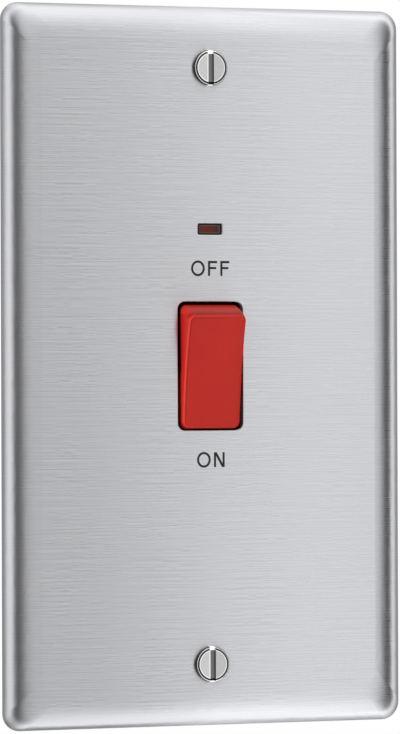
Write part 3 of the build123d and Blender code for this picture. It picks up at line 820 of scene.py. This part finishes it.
def round_turns(steps):
    """Angles of equal steps round a circle."""
    return [2 * pi * step / steps for step in range(steps)]


def join_rings(bm, near, far):
    """Faces between two rings of as many points."""
    for step in range(len(near)):
        follow = (step + 1) % len(near)
        bm.faces.new((near[step], near[follow], far[follow], far[step]))


# Screws

SCREW_INPUTS = {
    "Blank": "NodeSocketGeometry",
    "Thread Radius": "NodeSocketFloat",
    "Pitch": "NodeSocketFloat",
    "Thread Start": "NodeSocketFloat",
    "Thread Length": "NodeSocketFloat",
    "Columns": "NodeSocketInt",
    "Rows": "NodeSocketInt",
    "Width": "NodeSocketFloat",
    "Height": "NodeSocketFloat",
    "Centre": "NodeSocketVector",
    "Finish": "NodeSocketMaterial",
}


def screw_tree():
    """Geometry nodes that cut a thread on a turned blank and set it out in columns and rows."""
    group = bpy.data.node_groups.new("screw_set", "GeometryNodeTree")
    for name, kind in SCREW_INPUTS.items():
        group.interface.new_socket(name, in_out="INPUT", socket_type=kind)
    group.interface.new_socket("Screws", in_out="OUTPUT", socket_type="NodeSocketGeometry")
    tree = Tree(group)
    given = {name: tree.node("NodeGroupInput", {}, {}, name) for name in SCREW_INPUTS}
    ridge = given["Pitch"] * RIDGE_SHARE
    radius = given["Thread Radius"] - ridge
    coil = {
        "Resolution": THREAD_STEPS,
        "Rotations": given["Thread Length"] / given["Pitch"],
        "Start Radius": radius,
        "End Radius": radius,
        "Height": given["Thread Length"],
    }
    helix = tree.node("GeometryNodeCurveSpiral", {}, coil)
    helix = tree.node("GeometryNodeSetCurveNormal", {"mode": "Z_UP"}, {"Curve": helix})
    diamond = {"Resolution": THREAD_SIDES, "Radius": ridge}
    section = tree.node("GeometryNodeCurvePrimitiveCircle", {}, diamond)
    swept = {"Curve": helix, "Profile Curve": section, "Fill Caps": True}
    thread = tree.node("GeometryNodeCurveToMesh", {}, swept)
    start = tree.node("ShaderNodeCombineXYZ", {}, {"Y": given["Thread Start"]})
    laid = {"Geometry": thread, "Translation": start, "Rotation": (-pi / 2, 0, 0)}
    thread = tree.node("GeometryNodeTransform", {}, laid)
    screw = tree.node("GeometryNodeJoinGeometry", {}, {"Geometry": [given["Blank"], thread]})
    pattern = {
        "Size X": given["Width"],
        "Size Y": given["Height"],
        "Vertices X": given["Columns"],
        "Vertices Y": given["Rows"],
    }
    grid = tree.node("GeometryNodeMeshGrid", {}, pattern)
    upright = {"Geometry": grid, "Translation": given["Centre"], "Rotation": (pi / 2, 0, 0)}
    grid = tree.node("GeometryNodeTransform", {}, upright)
    screws = tree.node("GeometryNodeInstanceOnPoints", {}, {"Points": grid, "Instance": screw})
    screws = tree.node("GeometryNodeRealizeInstances", {}, {"Geometry": screws})
    screws = tree.node("GeometryNodeSetMaterial", {}, {"Geometry": screws, "Material": given["Finish"]})
    tree.node("NodeGroupOutput", {}, {"Screws": screws})
    return group


def round_over(middle, depth, radius, start):
    """Points of a rounded rim, as radius from the axis and depth, from its face to its side."""
    turns = [start * (1 - step / ROUND_STEPS) for step in range(ROUND_STEPS + 1)]
    return [(middle + radius * cos(t), depth - radius * sin(t)) for t in turns]


def pan_face(screw):
    """Flat face with a rounded rim."""
    rim = screw.round_over
    return [(0, 0)] + round_over(screw.head / 2 - rim, rim, rim, pi / 2)


def fixing_face(screw):
    """Face with a fine groove inside the rounded rim."""
    rim = screw.round_over
    face = [
        (0, 0),
        (FIXING_FACE, 0),
        (FIXING_GROOVE_INNER, FIXING_GROOVE_DEPTH),
        (FIXING_GROOVE_OUTER, FIXING_GROOVE_DEPTH),
    ]
    return face + round_over(screw.head / 2 - rim, rim + screw.dish, rim, FIXING_RIM_START)


def turned_blank(profile, head_y, way, dish):
    """A closed solid turned about Y, from pairs of radius and depth, whose face leans in to the slot."""
    bm = bmesh.new()
    rings = []
    for radius, depth in profile:
        y = head_y + way * depth
        turns = round_turns(TURNED_STEPS) if radius else [0]
        rings.append([bm.verts.new((radius * cos(t), y, radius * sin(t))) for t in turns])
    reach = profile[1][0]
    for vert in rings[0] + rings[1]:
        vert.co.y += way * dish * (1 - abs(vert.co.x) / reach)
    for near, far in zip(rings, rings[1:]):
        for step in range(TURNED_STEPS):
            corners = [ring[turn % len(ring)] for ring, turn in ((near, step), (near, step + 1))]
            corners += [ring[turn % len(ring)] for ring, turn in ((far, step + 1), (far, step))]
            bm.faces.new(dict.fromkeys(corners))
    bmesh.ops.recalc_face_normals(bm, faces=bm.faces)
    return bm


def slot_cutter(screw, head_y, way):
    """A bar across the head, whose floor falls away at both ends where the slot is formed so."""
    bm = bmesh.new()
    reach = screw.head / 2 + CUTTER_OVERRUN
    flat = screw.head / 2 - screw.slot_fall
    slope = (screw.head_height - screw.slot_depth) / screw.slot_fall if screw.slot_fall else 0
    end_depth = screw.slot_depth + slope * (reach - flat)
    outline = [(-reach, -CUTTER_OVERRUN), (reach, -CUTTER_OVERRUN), (reach, end_depth)]
    outline += [(flat, screw.slot_depth), (-flat, screw.slot_depth), (-reach, end_depth)]
    bm.faces.new([bm.verts.new((-screw.slot / 2, head_y + way * depth, z)) for z, depth in outline])
    grow_faces(bm, (screw.slot, 0, 0))
    return bm


def screw_set(node, screw, face, columns, rows, way, tree, slot):
    """All the screws of one solid, in columns and rows, driven into the wall or towards the plate."""
    low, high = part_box(node)
    head_y, tip_y = (low.y, high.y) if way == INTO_WALL else (high.y, low.y)
    length = abs(tip_y - head_y)
    core = screw.thread / 2 - CORE_SHARE * screw.pitch
    shank = screw.head_height + screw.plain
    profile = face + [(screw.head / 2, screw.head_height)]
    if screw.plain:
        profile += [(core + EDGE_BREAK, screw.head_height), (core + EDGE_BREAK, shank)]
    profile += [(core, shank), (core, length - TIP_CHAMFER), (core - TIP_CHAMFER, length), (0, length)]
    blank = turned_blank(profile, head_y, way, screw.dish)
    holder = new_object(node + "_blank", mesh_of(node + "_blank", blank))
    cutter = new_object(node + "_cutter", mesh_of(node + "_cutter", slot_cutter(screw, head_y, way)))
    slotting = holder.modifiers.new("slot", "BOOLEAN")
    slotting.object = cutter
    breaking = holder.modifiers.new("edge_break", "BEVEL")
    breaking.width = EDGE_BREAK
    breaking.segments = EDGE_BREAK_STEPS
    breaking.angle_limit = EDGE_BREAK_ANGLE
    ridge = RIDGE_SHARE * screw.pitch
    ends = [head_y + way * depth for depth in (shank + ridge, length - TIP_CHAMFER - ridge)]
    values = {
        "Thread Radius": screw.thread / 2,
        "Pitch": screw.pitch,
        "Thread Start": min(ends),
        "Thread Length": abs(ends[1] - ends[0]),
        "Columns": columns,
        "Rows": rows,
        "Width": high.x - low.x - screw.head,
        "Height": high.z - low.z - screw.head,
        "Centre": ((low.x + high.x) / 2, 0, (low.z + high.z) / 2),
        "Finish": FINISHES[slot],
    }
    threading = holder.modifiers.new("screw_set", "NODES")
    threading.node_group = tree
    for socket in tree.interface.items_tree:
        if socket.name in values:
            threading[socket.identifier] = values[socket.name]
    mesh = settled_mesh(holder)
    for spent in (holder, cutter):
        bpy.data.objects.remove(spent)
    clean_mesh(mesh, mesh)
    piece = new_piece(node + "_turned", mesh, "housing")
    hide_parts(node)


def make_screws():
    """Fixing screws in front, clamping screws and terminal screws behind."""
    tree = screw_tree()
    screw_set("fixing_screws", FIXING_SCREW, fixing_face(FIXING_SCREW), 1, 2, INTO_WALL, tree, "screw_steel")
    rear_sets = (
        ("module_screws", MODULE_SCREW, 2, 2),
        ("terminal_screws", CLAMP_SCREW, 2, 2),
        ("earth_screw", EARTH_SCREW, 1, 1),
    )
    for node, screw, columns, rows in rear_sets:
        screw_set(node, screw, pan_face(screw), columns, rows, INTO_PLATE, tree, "plated_steel")


# Springs


def make_springs():
    """Coils behind the plungers, copied from their solids with smooth shading and carried on the rocker."""
    for pole in ("line", "neutral"):
        node = pole + "_spring"
        mesh = bpy.data.meshes.new(node + "_coil")
        clean_mesh(mesh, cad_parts[node].data)
        piece = new_piece(node + "_coil", mesh, "rocker", FINISHES["spring_steel"])
        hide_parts(node)
        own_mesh(piece)


# Words


def letter_o(bm, left, base):
    """A round letter: a ring between two ovals."""
    across = LETTER_O / 2
    tall = CAP_HEIGHT / 2 + ROUND_OVERSHOOT
    middle = Vector((left + across, 0, base + CAP_HEIGHT / 2))
    rings = []
    for inset in (0, STROKE):
        turns = round_turns(OVAL_STEPS)
        points = [Vector(((across - inset) * cos(t), 0, (tall - inset) * sin(t))) for t in turns]
        rings.append([bm.verts.new(middle + point) for point in points])
    join_rings(bm, *rings)
    return LETTER_O


def letter_f(bm, left, base):
    """An upright with a bar at its top and a shorter one at its middle."""
    short = LETTER_F * F_BAR_SHARE
    low = CAP_HEIGHT * F_BAR_HEIGHT_SHARE
    outline = [
        (0, 0),
        (STROKE, 0),
        (STROKE, low),
        (short, low),
        (short, low + STROKE),
        (STROKE, low + STROKE),
        (STROKE, CAP_HEIGHT - STROKE),
        (LETTER_F, CAP_HEIGHT - STROKE),
        (LETTER_F, CAP_HEIGHT),
        (0, CAP_HEIGHT),
    ]
    bm.faces.new([bm.verts.new((left + x, 0, base + z)) for x, z in outline])
    return LETTER_F


def letter_n(bm, left, base):
    """Two uprights and a diagonal."""
    foot = STROKE * N_FOOT_SHARE
    notch = CAP_HEIGHT * N_NOTCH_SHARE
    half = [(0, 0), (STROKE, 0), (STROKE, notch), (LETTER_N - foot, 0), (LETTER_N, 0)]
    outline = half + [(LETTER_N - x, CAP_HEIGHT - z) for x, z in half]
    bm.faces.new([bm.verts.new((left + x, 0, base + z)) for x, z in outline])
    return LETTER_N


def word(name, letters, height):
    """A word of thin printed letters on the plate's face."""
    bm = bmesh.new()
    left = 0.0
    for letter in letters:
        left += letter(bm, left, height - CAP_HEIGHT / 2) + LETTER_GAP
    width = left - LETTER_GAP
    rear = Vector((-width / 2, PLATE_FRONT + INK_SUNK, 0))
    bmesh.ops.translate(bm, verts=bm.verts, vec=rear)
    grow_faces(bm, (0, -INK_PROUD - INK_SUNK, 0))
    new_piece(name, mesh_of(name, bm), "housing", INK)


# Studio


def lamp(name, place, size, power):
    """A large soft lamp that faces the part. Neither the camera nor gloss shows it."""
    data = bpy.data.lights.new(name, "AREA")
    data.shape = "RECTANGLE"
    data.size, data.size_y = size
    data.energy = power
    holder = new_object(name, data)
    holder.location = place
    holder.rotation_euler = place.to_track_quat("Z", "Y").to_euler()
    holder.visible_camera = False
    holder.visible_glossy = False


def tent_tone(shader, place):
    """The tent's tone at a place, from its angle round the part."""
    right = shader.axis(place, "X")
    ahead = shader.axis(place, "Y") * -1.0
    share = right.maths("ARCTAN2", right, ahead) / (2 * pi) + 0.5
    stops = [(degrees / 360 + 0.5, tone) for degrees, tone in TENT_TONES]
    tone = shader.node("ShaderNodeValToRGB", {"stops": stops}, {0: share})
    return tone * (1 + shader.axis(place, "Z").ramp(*TENT_RISE_HEIGHTS) * TENT_RISE)


def studio_floor(shader):
    """Pale floor, white to the camera far from the part. Gloss sees the tent's tones and a bright card."""
    place = shader.node("ShaderNodeTexCoord", {}, {}, "Object")
    distance = shader.node("ShaderNodeVectorMath", {"operation": "LENGTH"}, {0: place}, "Value")
    gloss = shader.ray("Is Glossy Ray")
    seen = shader.ray("Is Camera Ray") + shader.ray("Is Transmission Ray")
    white_share = distance.ramp(*FLOOR_FADE) * seen + gloss
    mottle = shader.noise(shader.place(), scale=FLOOR_MOTTLE, detail=2.0)
    colour = shader.blend(mottle, *map(grey, FLOOR_TONES))
    pale = shader.node("ShaderNodeBsdfDiffuse", {}, {"Color": colour})
    right = shader.axis(place, "X")
    depth = shader.axis(place, "Y")
    front = (depth - (CARD_SLANT_START - right) * CARD_SLANT).ramp(*CARD_FRONT)
    card = front * (1 - depth.ramp(*CARD_REAR)) * right.band(*CARD_SIDES, CARD_SOFT)
    patch = right.band(*PATCH_SIDES, CARD_SOFT) * depth.band(*PATCH_DEPTHS, CARD_SOFT)
    tented = card * CARD_TONE + (1 - card) * tent_tone(shader, place) * (1 - patch * PATCH_DROP)
    strength = 1 + gloss * (tented - 1)
    white = shader.node("ShaderNodeEmission", {}, {"Color": grey(1.0), "Strength": strength})
    mixed = shader.node("ShaderNodeMixShader", {}, {0: white_share, 1: pale, 2: white})
    shader.node("ShaderNodeOutputMaterial", {}, {"Surface": mixed})


def stage_piece(name, bm, paint):
    """A studio piece that isn't part of the object."""
    piece = new_object(name, mesh_of(name, bm))
    piece.data.materials.append(finish(name + "_finish", paint))
    return piece


def make_floor():
    """A wide round floor below the part."""
    bm = bmesh.new()
    bmesh.ops.create_circle(bm, cap_ends=True, segments=FLOOR_STEPS, radius=FLOOR_RADIUS)
    bmesh.ops.translate(bm, verts=bm.verts, vec=(0, 0, FLOOR_HEIGHT))
    stage_piece("studio_floor", bm, studio_floor)


def tent_wall(shader):
    """Wall of the tent round the part: white sides, dark between them and the lighter front."""
    tone = tent_tone(shader, shader.node("ShaderNodeTexCoord", {}, {}, "Object"))
    light = shader.node("ShaderNodeEmission", {}, {"Color": grey(1.0), "Strength": tone})
    shader.node("ShaderNodeOutputMaterial", {}, {"Surface": light})


def make_tent():
    """A round wall that only gloss shows, as a light tent does round bright metal."""
    bm = bmesh.new()
    rings = []
    for height in (-TENT_HEIGHT, TENT_HEIGHT):
        points = [(TENT_RADIUS * sin(t), -TENT_RADIUS * cos(t), height) for t in round_turns(TENT_STEPS)]
        rings.append([bm.verts.new(point) for point in points])
    join_rings(bm, *rings)
    tent = stage_piece("light_tent", bm, tent_wall)
    tent.visible_camera = False
    tent.visible_diffuse = False
    tent.visible_transmission = False
    tent.visible_shadow = False
    tent.data.materials[0].cycles.emission_sampling = "NONE"


def make_world():
    """Even light with a white background. Gloss sees it brighter overhead, darker behind and to the left."""
    world = bpy.data.worlds.new("studio_world")
    bpy.context.scene.world = world
    world.use_nodes = True
    shader = Shader(world.node_tree)
    direction = shader.node("ShaderNodeTexCoord", {}, {}, "Generated")
    rise = shader.axis(direction, "Z").ramp(*OVERHEAD_RISE)
    behind = shader.axis(direction, "Y").ramp(*BEHIND_TURN)
    left = 1 - shader.axis(direction, "X").ramp(*LEFT_TURN)
    gloss = shader.ray("Is Glossy Ray")
    seen = (shader.ray("Is Camera Ray") + shader.ray("Is Transmission Ray")).ramp(0, 0.5)
    overhead = (1 + rise * OVERHEAD_GAIN) * (1 - behind * BEHIND_DROP) * (1 - left * LEFT_DROP)
    strength = seen + (1 - seen) * (gloss * overhead + (1 - gloss) * WORLD_LEVEL)
    sky = shader.node("ShaderNodeBackground", {}, {"Color": grey(1.0), "Strength": strength})
    shader.node("ShaderNodeOutputWorld", {}, {"Surface": sky})


def make_camera():
    """The photograph's camera, to the left of the plate at mid height."""
    azimuth, elevation, roll = (radians(a) for a in (CAMERA_AZIMUTH, CAMERA_ELEVATION, CAMERA_ROLL))
    back = Vector((-sin(azimuth) * cos(elevation), -cos(azimuth) * cos(elevation), sin(elevation)))
    level = Vector((cos(azimuth), -sin(azimuth), 0))
    rise = back.cross(level)
    right = level * cos(roll) + rise * sin(roll)
    up = rise * cos(roll) - level * sin(roll)
    data = bpy.data.cameras.new("photo_camera")
    data.sensor_width = SENSOR
    data.lens = FOCAL_PIXELS * SENSOR / PHOTO_HEIGHT
    data.clip_start = CAMERA_NEAR
    data.clip_end = CAMERA_FAR
    camera = new_object("photo_camera", data)
    turn = Matrix((right, up, back)).transposed().to_4x4()
    camera.matrix_world = Matrix.Translation(CAMERA_AIM + back * CAMERA_DISTANCE) @ turn
    bpy.context.scene.camera = camera


dress_solids()
make_screws()
make_springs()
word("word_off", (letter_o, letter_f, letter_f), OFF_HEIGHT)
word("word_on", (letter_o, letter_n), ON_HEIGHT)

make_floor()
make_tent()
make_world()
make_camera()
lamp("key_lamp", KEY_PLACE, KEY_SIZE, KEY_POWER)
lamp("rear_lamp", REAR_PLACE, REAR_SIZE, REAR_POWER)
bpy.context.scene.view_settings.view_transform = "Standard"
